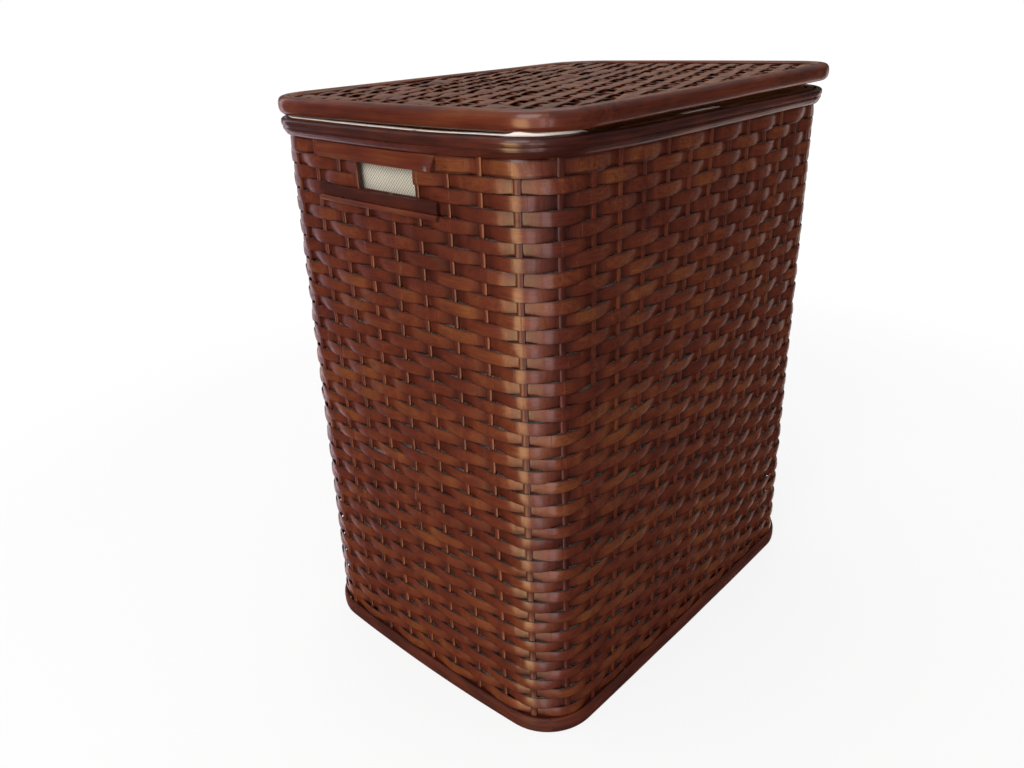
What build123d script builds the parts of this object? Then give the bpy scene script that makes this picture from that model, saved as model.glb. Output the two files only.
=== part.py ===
from build123d import *
import os

# A rectangular woven splint hamper with a lift-off lid and a fabric liner.
# Millimetres, +Z up, origin on the floor under the middle of the basket.
# X runs along the long side, the front is -Y and the left is -X.

os.makedirs("parts", exist_ok=True)

# ---------------------------------------------------------------- driving dimensions
OVERALL_HEIGHT = 610.0
LID_HEIGHT = 17.0            # lid hoop, top to bottom
LID_GAP = 0.4                # lid hoop to the liner hem it rests on
HEM_THICKNESS = 2.6          # liner hem folded over the rim
BODY_HEIGHT = OVERALL_HEIGHT - LID_HEIGHT - LID_GAP - HEM_THICKNESS

FOOT_HALF_LENGTH, MOUTH_HALF_LENGTH = 250.5, 249.5     # outer face of the weave, at the corners
FOOT_HALF_WIDTH, MOUTH_HALF_WIDTH = 184.5, 178.5
SHORT_SIDE_BOW, LONG_SIDE_BOW = 7.5, 2.0               # how far each side bellies out in plan
CORNER_RADIUS = 55.0

# the splints of the weave, as insets from its outer face
SPLINT = 1.1                                           # thickness of a weaver
STAKE_INSET, STAKE_THICKNESS, STAKE_WIDTH = 1.25, 2.0, 6.0
CORNER_STAKE_WIDTH = 6.4
INNER_WEAVER_INSET = 3.4
WALL = INNER_WEAVER_INSET + SPLINT
STAKES = 46
ROWS = 46

RIM_HEIGHT = 19.0
RIM_UPPER_HEIGHT = 9.5       # bulbous hoop; the flatter band below takes the rest
RIM_PROUD, RIM_BAND_PROUD = 5.8, 3.6
RIM_INNER_THICKNESS = 5.5
BASE_HEIGHT = 18.0
BASE_PROUD = 4.6
BASE_INNER_THICKNESS = 5.0
HOOP_INSET = 0.9             # back of the outer hoops, against the stakes
INNER_BAND_INSET = INNER_WEAVER_INSET
STAKE_FOOT = 2.0             # the stakes stop short of the floor
STAKE_TOP = BODY_HEIGHT - 1.0

RIM_BOTTOM = BODY_HEIGHT - RIM_HEIGHT
ROW_PITCH = (RIM_BOTTOM - BASE_HEIGHT) / ROWS
WEAVER_HEIGHT = ROW_PITCH - 0.8
SLOT_ROWS = 2                # rows left out for each hand hole
SLOT_WIDTH, SLOT_OFFSET = 74.8, 2.4         # the left hole sits towards the front, the right one the back
SLOT_TOP = RIM_BOTTOM - ROW_PITCH
SLOT_BOTTOM = SLOT_TOP - SLOT_ROWS * ROW_PITCH
BATTEN_LENGTH, BATTEN_OFFSET = 161.0, 12.0  # and their battens the other way
UPPER_BATTEN_THICKNESS, LOWER_BATTEN_THICKNESS = 1.8, 2.2
LOWER_BATTEN_HEIGHT, BEAD_RADIUS = 10.5, 2.6
CONTACT_GAP = 0.15           # bent pieces laid against each other
INNER_BATTEN_INSET, INNER_BATTEN_THICKNESS = WALL + CONTACT_GAP, 2.0

FLOOR_LEVEL = 8.0            # underside of the woven floor
FLOOR_SPLINT_WIDTH, FLOOR_SPLINT_PITCH = 20.0, 22.0
FLOOR_BATTEN_WIDTH = 30.0

LINER_THICKNESS = 1.5
LINER_INSET = 9.8            # from the outer face of the weave; clears the rim's brads
LINER_FLOOR = FLOOR_LEVEL + 2 * SPLINT + 0.9

LID_HALF_LENGTH, LID_HALF_WIDTH = 251.0, 190.5         # outer face of the lid hoop, at the corners
LID_CORNER_RADIUS = 59.0
LID_HOOP_WIDTH = 14.4
LID_PANEL_DROP = 3.6         # hoop top down to the upper face of the woven panel
LID_SPLINT_WIDTH, LID_SPLINT_PITCH = 10.6, 11.6
LID_CROSS_PITCH = 33.6
LID_BATTENS, LID_BATTEN_WIDTH, LID_BATTEN_THICKNESS = 3, 24.0, 4.2
LID_BATTEN_SPACING = 150.0
EDGE_BAND_WIDTH = 4.0
TRIM_WIDTH, TRIM_HEIGHT = 2.6, 2.4
RING_DEPTH = 13.0            # how far the locating ring reaches below the rim's top
RING_THICKNESS = 4.0
RING_CLEARANCE = 2.4         # locating ring to the liner

BRAD_SHANK, BRAD_HEAD, BRAD_HEAD_THICKNESS = 0.9, 1.9, 0.7
BRAD_FIT = 0.1               # round the shank and under the head
HOLE_OVERRUN = 0.5           # a brad's hole is cut this far past the band's faces
RIM_BRAD_LENGTH, BASE_BRAD_LENGTH, LID_BRAD_LENGTH = 12.0, 11.0, 12.0
BRAD_SPACING = 3             # one brad to every third gap between stakes


# ---------------------------------------------------------------- plan outlines
def bowed_plan(half_length, half_width, corner, inset):
    """Rounded rectangle whose sides belly out, drawn inset inwards from the sizes given."""
    x, y = half_length - inset, half_width - inset
    corners = [(-x, -y), (x, -y), (x, y), (-x, y)]
    middles = [(0, -y - LONG_SIDE_BOW), (x + SHORT_SIDE_BOW, 0),
               (0, y + LONG_SIDE_BOW), (-x - SHORT_SIDE_BOW, 0)]
    with BuildSketch() as plan:
        with BuildLine():
            for start, middle, end in zip(corners, middles, corners[1:] + corners[:1]):
                ThreePointArc(start, middle, end)
        make_face()
        fillet(plan.vertices(), corner - inset)
    return plan.sketch


def basket_plan(height, inset):
    """The basket's outline at a height, measured inwards from the outer face of its weave."""
    rise = height / BODY_HEIGHT
    half_length = FOOT_HALF_LENGTH + (MOUTH_HALF_LENGTH - FOOT_HALF_LENGTH) * rise
    half_width = FOOT_HALF_WIDTH + (MOUTH_HALF_WIDTH - FOOT_HALF_WIDTH) * rise
    return bowed_plan(half_length, half_width, CORNER_RADIUS, inset)


def lid_plan(inset):
    """The lid hoop's outline, measured inwards from its outer face."""
    return bowed_plan(LID_HALF_LENGTH, LID_HALF_WIDTH, LID_CORNER_RADIUS, inset)


def along(outline, count, shift):
    """Points and tangents evenly round an outline, starting at the front left corner's middle."""
    wire = outline.faces()[0].outer_wire()
    steps = 720
    def toward_corner(step):
        point = wire.position_at(step / steps)
        return -point.X - point.Y

    start = max(range(steps), key=toward_corner) / steps
    stops = [(start + (index + shift) / count) % 1.0 for index in range(count)]
    return [(wire.position_at(stop), wire.tangent_at(stop)) for stop in stops]


def hoop_plan(outline, inset_outside, inset_inside):
    """The flat ring between two insets of an outline function."""
    with BuildSketch() as ring:
        add(outline(inset_outside))
        add(outline(inset_inside), mode=Mode.SUBTRACT)
    return ring.sketch


def mouth(inset):
    return basket_plan(BODY_HEIGHT, inset)


def below_rim(inset):
    return basket_plan(RIM_BOTTOM, inset)


def foot(inset):
    return basket_plan(0, inset)


def brad_planes(outline, inset, height, every):
    """Planes on a band's inner face at a height, facing outwards between every few stakes."""
    for point, tangent in along(outline(inset + BRAD_FIT), STAKES, 0)[::every]:
        yield Plane(origin=(point.X, point.Y, height), x_dir=(0, 0, 1), z_dir=(tangent.Y, -tangent.X, 0))


def write(piece, label):
    piece.part.label = label
    export_step(piece.part, f"parts/{label}.step")


# ---------------------------------------------------------------- weave
STAKE_MID = STAKE_INSET + STAKE_THICKNESS / 2
stake_feet = along(basket_plan(STAKE_FOOT, STAKE_MID), STAKES, 0.5)
stake_tops = along(basket_plan(STAKE_TOP, STAKE_MID), STAKES, 0.5)
stake_planes = []
for (low, low_tangent), (high, high_tangent) in zip(stake_feet, stake_tops):
    lean = Vector(high.X - low.X, high.Y - low.Y, STAKE_TOP - STAKE_FOOT)
    across = low_tangent + high_tangent
    stake_planes.append(Plane(origin=(low.X, low.Y, STAKE_FOOT), x_dir=across, z_dir=lean))


def side_of(plane):
    """Which side of the basket a stake stands on."""
    x, y = plane.origin.X, plane.origin.Y
    if abs(x) > FOOT_HALF_LENGTH - CORNER_RADIUS and abs(y) > FOOT_HALF_WIDTH - CORNER_RADIUS:
        return "corner"
    if abs(x) > FOOT_HALF_LENGTH - CORNER_RADIUS:
        return "left" if x < 0 else "right"
    return "front" if y < 0 else "back"


HAND_HOLE_HEIGHT = (SLOT_TOP + SLOT_BOTTOM) / 2
HAND_HOLES = [(-FOOT_HALF_LENGTH, -SLOT_OFFSET, HAND_HOLE_HEIGHT), (FOOT_HALF_LENGTH, SLOT_OFFSET, HAND_HOLE_HEIGHT)]
HAND_HOLE_REACH = 60.0

for side in ("front", "back", "left", "right", "corner"):
    width = CORNER_STAKE_WIDTH if side == "corner" else STAKE_WIDTH
    with BuildPart() as stakes:
        for plane in stake_planes:
            if side_of(plane) == side:
                with BuildSketch(plane):
                    Rectangle(width, STAKE_THICKNESS)
        extrude(amount=STAKE_TOP - STAKE_FOOT)
        if side in ("left", "right"):
            with Locations(*HAND_HOLES):
                Box(HAND_HOLE_REACH, SLOT_WIDTH, SLOT_ROWS * ROW_PITCH, mode=Mode.SUBTRACT)
    write(stakes, f"{side}_stakes")

# rows alternate: one passes outside the stakes, the next inside them
for layer, first_row, inset in (("outer", 0, 0.0), ("inner", 1, INNER_WEAVER_INSET)):
    with BuildPart() as weavers:
        for row in range(first_row, ROWS, 2):
            height = BASE_HEIGHT + row * ROW_PITCH + (ROW_PITCH - WEAVER_HEIGHT) / 2
            with BuildSketch(Plane.XY.offset(height)):
                add(basket_plan(height, inset))
                add(basket_plan(height, inset + SPLINT), mode=Mode.SUBTRACT)
        extrude(amount=WEAVER_HEIGHT)
        with Locations(*HAND_HOLES):
            Box(HAND_HOLE_REACH, SLOT_WIDTH, SLOT_ROWS * ROW_PITCH, mode=Mode.SUBTRACT)
    write(weavers, f"{layer}_weavers")

# ---------------------------------------------------------------- rim
RIM_BRAD_HEIGHT = BODY_HEIGHT - RIM_UPPER_HEIGHT / 2
RIM_INNER_FACE = INNER_BAND_INSET + RIM_INNER_THICKNESS
rim_brad_planes = list(brad_planes(mouth, RIM_INNER_FACE, RIM_BRAD_HEIGHT, BRAD_SPACING))

with BuildPart() as rim_upper_hoop:
    with BuildSketch(Plane.XY.offset(BODY_HEIGHT - RIM_UPPER_HEIGHT)):
        add(hoop_plan(mouth, -RIM_PROUD, HOOP_INSET))
    extrude(amount=RIM_UPPER_HEIGHT)
    caps = rim_upper_hoop.faces().filter_by(Axis.Z)
    fillet([edge for cap in caps for edge in cap.outer_wire().edges()], RIM_UPPER_HEIGHT * 0.46)
    for plane in rim_brad_planes:
        with BuildSketch(plane):
            Circle(BRAD_SHANK + BRAD_FIT)
    extrude(amount=RIM_BRAD_LENGTH + BRAD_FIT, mode=Mode.SUBTRACT)
write(rim_upper_hoop, "rim_upper_hoop")

RIM_BAND_HEIGHT = RIM_HEIGHT - RIM_UPPER_HEIGHT - CONTACT_GAP
with BuildPart() as rim_lower_band:
    with BuildSketch(Plane.XY.offset(RIM_BOTTOM)):
        add(hoop_plan(below_rim, -RIM_BAND_PROUD, HOOP_INSET))
    extrude(amount=RIM_BAND_HEIGHT)
    caps = rim_lower_band.faces().filter_by(Axis.Z)
    fillet([edge for cap in caps for edge in cap.outer_wire().edges()], RIM_BAND_HEIGHT * 0.4)
write(rim_lower_band, "rim_lower_band")

with BuildPart() as rim_inner_band:
    with BuildSketch(Plane.XY.offset(RIM_BOTTOM + CONTACT_GAP)):
        add(hoop_plan(mouth, INNER_BAND_INSET, RIM_INNER_FACE))
    extrude(amount=RIM_HEIGHT - CONTACT_GAP)
    for plane in rim_brad_planes:
        with BuildSketch(plane.offset(-HOLE_OVERRUN)):
            Circle(BRAD_SHANK + BRAD_FIT)
    extrude(amount=RIM_INNER_THICKNESS + 2 * HOLE_OVERRUN + BRAD_FIT, mode=Mode.SUBTRACT)
write(rim_inner_band, "rim_inner_band")

with BuildPart() as rim_brads:
    for plane in rim_brad_planes:
        with BuildSketch(plane):
            Circle(BRAD_SHANK)
    extrude(amount=RIM_BRAD_LENGTH)
    for plane in rim_brad_planes:
        with BuildSketch(plane.offset(-BRAD_HEAD_THICKNESS)):
            Circle(BRAD_HEAD)
    extrude(amount=BRAD_HEAD_THICKNESS)
write(rim_brads, "rim_brads")

# ---------------------------------------------------------------- base
BASE_INNER_FACE = INNER_BAND_INSET + BASE_INNER_THICKNESS
BASE_BRAD_HEIGHT = BASE_HEIGHT - 3.5
base_brad_planes = list(brad_planes(foot, BASE_INNER_FACE, BASE_BRAD_HEIGHT, BRAD_SPACING))

with BuildPart() as base_hoop:
    with BuildSketch():
        add(hoop_plan(foot, -BASE_PROUD, HOOP_INSET))
    extrude(amount=BASE_HEIGHT)
    caps = base_hoop.faces().filter_by(Axis.Z).sort_by(Axis.Z)
    fillet(caps[-1].outer_wire().edges(), BASE_PROUD * 0.95)
    fillet(base_hoop.faces().filter_by(Axis.Z).sort_by(Axis.Z)[0].outer_wire().edges(), 2.5)
    for plane in base_brad_planes:
        with BuildSketch(plane):
            Circle(BRAD_SHANK + BRAD_FIT)
    extrude(amount=BASE_BRAD_LENGTH + BRAD_FIT, mode=Mode.SUBTRACT)
write(base_hoop, "base_hoop")

with BuildPart() as base_inner_band:
    with BuildSketch():
        add(hoop_plan(foot, INNER_BAND_INSET, BASE_INNER_FACE))
    extrude(amount=BASE_HEIGHT - CONTACT_GAP)
    for plane in base_brad_planes:
        with BuildSketch(plane.offset(-HOLE_OVERRUN)):
            Circle(BRAD_SHANK + BRAD_FIT)
    extrude(amount=BASE_INNER_THICKNESS + 2 * HOLE_OVERRUN + BRAD_FIT, mode=Mode.SUBTRACT)
write(base_inner_band, "base_inner_band")

with BuildPart() as base_brads:
    for plane in base_brad_planes:
        with BuildSketch(plane):
            Circle(BRAD_SHANK)
    extrude(amount=BASE_BRAD_LENGTH)
    for plane in base_brad_planes:
        with BuildSketch(plane.offset(-BRAD_HEAD_THICKNESS)):
            Circle(BRAD_HEAD)
    extrude(amount=BRAD_HEAD_THICKNESS)
write(base_brads, "base_brads")

FLOOR_EDGE = BASE_INNER_FACE + CONTACT_GAP
with BuildPart() as floor_battens:
    with BuildSketch(Plane.XY.offset(CONTACT_GAP)):
        with GridLocations(FOOT_HALF_LENGTH * 0.8, 0, 2, 1):
            Rectangle(FLOOR_BATTEN_WIDTH, 2 * FOOT_HALF_WIDTH)
        add(foot(FLOOR_EDGE), mode=Mode.INTERSECT)
    extrude(amount=FLOOR_LEVEL - 2 * CONTACT_GAP)
write(floor_battens, "floor_battens")

long_count = int(2 * FOOT_HALF_WIDTH / FLOOR_SPLINT_PITCH)
with BuildPart() as floor_long_splints:
    with BuildSketch(Plane.XY.offset(FLOOR_LEVEL)):
        with GridLocations(0, FLOOR_SPLINT_PITCH, 1, long_count):
            Rectangle(2.2 * FOOT_HALF_LENGTH, FLOOR_SPLINT_WIDTH)
        add(foot(FLOOR_EDGE), mode=Mode.INTERSECT)
    extrude(amount=SPLINT)
write(floor_long_splints, "floor_long_splints")

cross_count = int(2 * FOOT_HALF_LENGTH / FLOOR_SPLINT_PITCH)
with BuildPart() as floor_cross_splints:
    with BuildSketch(Plane.XY.offset(FLOOR_LEVEL + SPLINT + CONTACT_GAP)):
        with GridLocations(FLOOR_SPLINT_PITCH, 0, cross_count, 1):
            Rectangle(FLOOR_SPLINT_WIDTH, 2.2 * FOOT_HALF_WIDTH)
        add(foot(FLOOR_EDGE), mode=Mode.INTERSECT)
    extrude(amount=SPLINT)
write(floor_cross_splints, "floor_cross_splints")


# ---------------------------------------------------------------- hand holes
def strip_plan(sign, height, inset_outside, inset_inside):
    """A batten's footprint: a stretch of the bowed short side between two insets."""
    with BuildSketch() as strip:
        add(basket_plan(height, inset_outside))
        add(basket_plan(height, inset_inside), mode=Mode.SUBTRACT)
        with Locations((sign * FOOT_HALF_LENGTH, -sign * BATTEN_OFFSET)):
            Rectangle(FOOT_HALF_LENGTH, BATTEN_LENGTH, mode=Mode.INTERSECT)
    return strip.sketch


BEAD_HEIGHT = 2 * BEAD_RADIUS
LOWER_BATTEN_BOTTOM = SLOT_BOTTOM - LOWER_BATTEN_HEIGHT
for side, sign in (("left", -1), ("right", 1)):
    with BuildPart() as upper_batten:
        with BuildSketch(Plane.XY.offset(SLOT_TOP)):
            add(strip_plan(sign, SLOT_TOP, -CONTACT_GAP - UPPER_BATTEN_THICKNESS, -CONTACT_GAP))
        extrude(amount=ROW_PITCH - CONTACT_GAP)
    write(upper_batten, f"{side}_handle_upper_batten")

    with BuildPart() as lower_batten:
        with BuildSketch(Plane.XY.offset(LOWER_BATTEN_BOTTOM)):
            add(strip_plan(sign, SLOT_BOTTOM, -CONTACT_GAP - LOWER_BATTEN_THICKNESS, -CONTACT_GAP))
        extrude(amount=LOWER_BATTEN_HEIGHT)
    write(lower_batten, f"{side}_handle_lower_batten")

    with BuildPart() as bead:
        with BuildSketch(Plane.XY.offset(LOWER_BATTEN_BOTTOM - CONTACT_GAP - BEAD_HEIGHT)):
            add(strip_plan(sign, SLOT_BOTTOM, -CONTACT_GAP - 1.4 * BEAD_RADIUS, -CONTACT_GAP))
        extrude(amount=BEAD_HEIGHT)
        outer_face = bead.faces().sort_by(Axis.X)[0 if sign < 0 else -1]
        fillet([edge for edge in outer_face.edges() if abs(edge.tangent_at(0.5).Y) > 0.9], BEAD_RADIUS * 0.9)
    write(bead, f"{side}_handle_bead")

    with BuildPart() as inner_battens:
        for height, tall in ((SLOT_TOP, ROW_PITCH - CONTACT_GAP), (LOWER_BATTEN_BOTTOM, LOWER_BATTEN_HEIGHT)):
            with BuildSketch(Plane.XY.offset(height)):
                add(strip_plan(sign, height, INNER_BATTEN_INSET, INNER_BATTEN_INSET + INNER_BATTEN_THICKNESS))
            extrude(amount=tall)
    write(inner_battens, f"{side}_handle_inner_battens")

# ---------------------------------------------------------------- liner
LINER_INNER = LINER_INSET + LINER_THICKNESS
with BuildPart() as liner_bag:
    for height in (LINER_FLOOR, BODY_HEIGHT):
        with BuildSketch(Plane.XY.offset(height)):
            add(basket_plan(height, LINER_INSET))
    loft()
    for height in (LINER_FLOOR + LINER_THICKNESS, BODY_HEIGHT):
        with BuildSketch(Plane.XY.offset(height)):
            add(basket_plan(height, LINER_INNER))
    loft(mode=Mode.SUBTRACT)
write(liner_bag, "liner_bag")

with BuildPart() as liner_hem:
    with BuildSketch(Plane.XY.offset(BODY_HEIGHT)):
        add(hoop_plan(mouth, -RIM_PROUD / 2, LINER_INNER))
    extrude(amount=HEM_THICKNESS)
write(liner_hem, "liner_hem")

# ---------------------------------------------------------------- lid
LID_BOTTOM = OVERALL_HEIGHT - LID_HEIGHT
LONG_SPLINT_LEVEL = OVERALL_HEIGHT - LID_PANEL_DROP - SPLINT
CROSS_SPLINT_LEVEL = LONG_SPLINT_LEVEL - CONTACT_GAP - SPLINT
BATTEN_TOP = CROSS_SPLINT_LEVEL - CONTACT_GAP
BATTEN_BOTTOM = BATTEN_TOP - LID_BATTEN_THICKNESS
PANEL_EDGE = LID_HOOP_WIDTH + CONTACT_GAP
EDGE_BAND_FACE = PANEL_EDGE + EDGE_BAND_WIDTH
lid_brad_planes = list(
    brad_planes(lid_plan, EDGE_BAND_FACE, BATTEN_TOP - LID_BATTEN_THICKNESS / 2, BRAD_SPACING))

with BuildPart() as lid_hoop:
    with BuildSketch(Plane.XY.offset(LID_BOTTOM)):
        add(hoop_plan(lid_plan, 0, LID_HOOP_WIDTH))
    extrude(amount=LID_HEIGHT)
    caps = lid_hoop.faces().filter_by(Axis.Z)
    fillet([edge for cap in caps for edge in cap.outer_wire().edges()], LID_HEIGHT * 0.42)
    top = lid_hoop.faces().filter_by(Axis.Z).sort_by(Axis.Z)[-1]
    fillet(top.inner_wires()[0].edges(), 2.4)
    for plane in lid_brad_planes:
        with BuildSketch(plane):
            Circle(BRAD_SHANK + BRAD_FIT)
    extrude(amount=LID_BRAD_LENGTH + BRAD_FIT, mode=Mode.SUBTRACT)
write(lid_hoop, "lid_hoop")

with BuildPart() as lid_edge_band:
    with BuildSketch(Plane.XY.offset(BATTEN_BOTTOM)):
        add(hoop_plan(lid_plan, PANEL_EDGE, EDGE_BAND_FACE))
    extrude(amount=LID_BATTEN_THICKNESS)
    for plane in lid_brad_planes:
        with BuildSketch(plane.offset(-HOLE_OVERRUN)):
            Circle(BRAD_SHANK + BRAD_FIT)
    extrude(amount=EDGE_BAND_WIDTH + 2 * HOLE_OVERRUN + BRAD_FIT, mode=Mode.SUBTRACT)
write(lid_edge_band, "lid_edge_band")

with BuildPart() as lid_brads:
    for plane in lid_brad_planes:
        with BuildSketch(plane):
            Circle(BRAD_SHANK)
    extrude(amount=LID_BRAD_LENGTH)
    for plane in lid_brad_planes:
        with BuildSketch(plane.offset(-BRAD_HEAD_THICKNESS)):
            Circle(BRAD_HEAD)
    extrude(amount=BRAD_HEAD_THICKNESS)
write(lid_brads, "lid_brads")

with BuildPart() as lid_battens:
    with BuildSketch(Plane.XY.offset(BATTEN_BOTTOM)):
        with GridLocations(LID_BATTEN_SPACING, 0, LID_BATTENS, 1):
            Rectangle(LID_BATTEN_WIDTH, 2 * LID_HALF_WIDTH)
        add(lid_plan(EDGE_BAND_FACE + BRAD_HEAD_THICKNESS + CONTACT_GAP), mode=Mode.INTERSECT)
    extrude(amount=LID_BATTEN_THICKNESS)
write(lid_battens, "lid_battens")

lid_long_count = int(2 * (LID_HALF_WIDTH - PANEL_EDGE) / LID_SPLINT_PITCH)
with BuildPart() as lid_long_splints:
    with BuildSketch(Plane.XY.offset(LONG_SPLINT_LEVEL)):
        with GridLocations(0, LID_SPLINT_PITCH, 1, lid_long_count):
            Rectangle(2.2 * LID_HALF_LENGTH, LID_SPLINT_WIDTH)
        add(lid_plan(PANEL_EDGE), mode=Mode.INTERSECT)
    extrude(amount=SPLINT)
write(lid_long_splints, "lid_long_splints")

lid_cross_count = int(2 * (LID_HALF_LENGTH - PANEL_EDGE) / LID_CROSS_PITCH)
with BuildPart() as lid_cross_splints:
    with BuildSketch(Plane.XY.offset(CROSS_SPLINT_LEVEL)):
        with GridLocations(LID_CROSS_PITCH, 0, lid_cross_count, 1):
            Rectangle(STAKE_WIDTH, 2.2 * LID_HALF_WIDTH)
        add(lid_plan(PANEL_EDGE), mode=Mode.INTERSECT)
    extrude(amount=SPLINT)
write(lid_cross_splints, "lid_cross_splints")

with BuildPart() as lid_trim:
    with BuildSketch(Plane.XY.offset(LONG_SPLINT_LEVEL + SPLINT)):
        add(hoop_plan(lid_plan, PANEL_EDGE, PANEL_EDGE + TRIM_WIDTH))
    extrude(amount=TRIM_HEIGHT)
    top = lid_trim.faces().filter_by(Axis.Z).sort_by(Axis.Z)[-1]
    fillet(top.inner_wires()[0].edges(), TRIM_HEIGHT * 0.6)
write(lid_trim, "lid_trim")

RING_INSET = LINER_INNER + RING_CLEARANCE
RING_BOTTOM = BODY_HEIGHT - RING_DEPTH
with BuildPart() as lid_locating_ring:
    with BuildSketch(Plane.XY.offset(RING_BOTTOM)):
        add(hoop_plan(mouth, RING_INSET, RING_INSET + RING_THICKNESS))
    extrude(amount=BATTEN_BOTTOM - CONTACT_GAP - RING_BOTTOM)
write(lid_locating_ring, "lid_locating_ring")
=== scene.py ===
import math

import bpy
import numpy as np
from mathutils import Matrix, Vector


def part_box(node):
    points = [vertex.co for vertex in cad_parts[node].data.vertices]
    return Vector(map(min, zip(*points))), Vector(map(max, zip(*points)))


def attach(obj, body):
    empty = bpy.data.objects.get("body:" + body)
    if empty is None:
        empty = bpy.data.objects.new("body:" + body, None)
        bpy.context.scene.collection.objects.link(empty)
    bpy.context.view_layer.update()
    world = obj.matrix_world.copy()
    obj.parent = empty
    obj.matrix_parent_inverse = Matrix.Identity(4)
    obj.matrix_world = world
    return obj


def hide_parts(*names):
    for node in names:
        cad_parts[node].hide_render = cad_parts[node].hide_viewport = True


# Looks for a woven splint hamper with a lift-off lid and a cloth liner.
# Metres, +Z up, the front is -Y and the left is -X.

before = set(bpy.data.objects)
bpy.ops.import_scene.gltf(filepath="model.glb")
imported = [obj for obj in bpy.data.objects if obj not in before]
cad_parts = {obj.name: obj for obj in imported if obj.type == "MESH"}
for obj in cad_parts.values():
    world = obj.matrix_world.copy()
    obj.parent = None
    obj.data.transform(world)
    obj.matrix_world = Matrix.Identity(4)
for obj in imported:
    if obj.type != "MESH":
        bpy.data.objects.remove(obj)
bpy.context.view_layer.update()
rng = np.random.default_rng(23)

# ---------------------------------------------------------------- sizes
# half the width and depth of each outline before its sides belly out by BOW, and its corner radius
FOOT_HALF, MOUTH_HALF, BASKET_CORNER = (0.2505, 0.1845), (0.2495, 0.1785), 0.055
LID_HALF, LID_CORNER = (0.2510, 0.1905), 0.059
BOW = (0.0075, 0.002)

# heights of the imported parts
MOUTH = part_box("rim_upper_hoop")[1].z
WEAVE_TOP, RIM_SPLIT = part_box("rim_lower_band")[0].z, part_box("rim_upper_hoop")[0].z
RIM_LOW = WEAVE_TOP + 0.0025                # the broader top row shows this far above the rest
BASE_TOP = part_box("base_hoop")[1].z
SLOT_LOW, SLOT_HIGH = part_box("left_handle_lower_batten")[1].z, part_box("left_handle_upper_batten")[0].z
LID_LOW, LID_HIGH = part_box("lid_hoop")[0].z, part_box("lid_hoop")[1].z
LINER_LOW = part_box("liner_bag")[0].z
SLOT_MIDDLE = (SLOT_LOW + SLOT_HIGH) / 2

STAKES = ROWS = 46
PITCH = (WEAVE_TOP - BASE_TOP) / ROWS
SPLINT = 0.0011
STAKE_WIDTH, CORNER_STAKE_WIDTH, STAKE_DEPTH = 0.0050, 0.0068, 0.0022
WEAVE_MIDDLE = 0.00225                      # middle of the wall, inwards from its outer face
SWING = 0.0016                              # how far a weaver passes either side of that
WEAVER_WIDTH, WIDTH_SWING = 0.0124, 0.0007  # broader where it passes outside a stake
TOP_ROW_WIDENING, TOP_ROW_RISE = 0.0028, 0.0014

# the left hole sits towards the front and the right one towards the back, their strips the other way
SLOT_HALF, SLOT_OFFSET = 0.0374, 0.0024
STRIP_HALF, STRIP_OFFSET = 0.0805, 0.0120
SLOT_ROWS = (43, 44)

CORNER_RISE, CORNER_REACH = 0.0020, 0.10    # the mouth has lifted a little at its front left corner
LID_LIFT_FRONT, LID_LIFT_BACK = (0.0020, 0.0056), (-0.0022, 0.0006)     # the warped lid, left and right
LID_WARP_REACH = (0.26, 0.20)               # the warp is full this far out from the middle
LID_RIM_WIDTH = 0.0144
LINER_INSET = 0.0106
HEM_SLIP = 0.0034                           # how far below the mouth the hem has slipped along the front


# ---------------------------------------------------------------- shapes in plan
class Outline:
    """A rounded rectangle with bellied sides, read by the share of the way round from its front left."""

    def __init__(self, half, corner):
        (hx, hy), (bx, by) = half, BOW
        rx, ry = (hy**2 + bx**2) / (2 * bx), (hx**2 + by**2) / (2 * by)
        cx, cy = hx + bx - rx, hy + by - ry
        a, b, d = rx - corner, ry - corner, math.hypot(cx, cy)
        run = (a * a - b * b + d * d) / (2 * d)
        off = math.sqrt(a * a - run * run)
        fx, fy = cx - run * cx / d - off * cy / d, run * cy / d - off * cx / d
        ends = [0, math.atan2(fy, fx - cx), math.atan2(fy - cy, fx), math.pi / 2]
        arcs = [(cx, 0, rx), (fx, fy, corner), (0, cy, ry)]
        quarter = []
        for (x, y, r), low, high, count in zip(arcs, ends, ends[1:], (400, 301, 400)):
            turn = np.linspace(low, high, count)
            c, s = np.cos(turn), np.sin(turn)
            quarter.append(np.stack([x + r * c, y + r * s, c, s], 1))
        q = np.concatenate([quarter[0][:-1], quarter[1][:-1], quarter[2]])
        flip = q[::-1] * (-1, 1, -1, 1)
        ring = np.concatenate([q[:-1], flip[:-1], -q[:-1], -flip[:-1]])
        start = int(np.argmax(-ring[:, 0] - ring[:, 1]))
        ring = np.roll(ring, -start, 0)
        ring = np.concatenate([ring, ring[:1]])
        reach = np.concatenate([[0], np.cumsum(np.linalg.norm(np.diff(ring[:, :2], axis=0), axis=1))])
        self.length = reach[-1]
        self.grid = np.linspace(0, 1, 6001)
        self.table = [np.interp(self.grid * self.length, reach, ring[:, k]) for k in range(4)]

    def at(self, t):
        """Points and outward normals at shares t of the way round, as rows of x, y and of nx, ny."""
        x, y, nx, ny = (np.interp(np.mod(t, 1.0), self.grid, column) for column in self.table)
        size = np.hypot(nx, ny)
        return np.stack([x, y], -1), np.stack([nx / size, ny / size], -1)


foot, mouth = Outline(FOOT_HALF, BASKET_CORNER), Outline(MOUTH_HALF, BASKET_CORNER)
lid_edge = Outline(LID_HALF, LID_CORNER)
ROUND = (foot.length + mouth.length) / 2


def flat3(xy, z):
    return np.concatenate([xy, np.broadcast_to(np.asarray(z, float), xy.shape[:1])[:, None]], 1)


def smooth(x):
    x = np.clip(x, 0, 1)
    return x * x * (3 - 2 * x)


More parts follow.
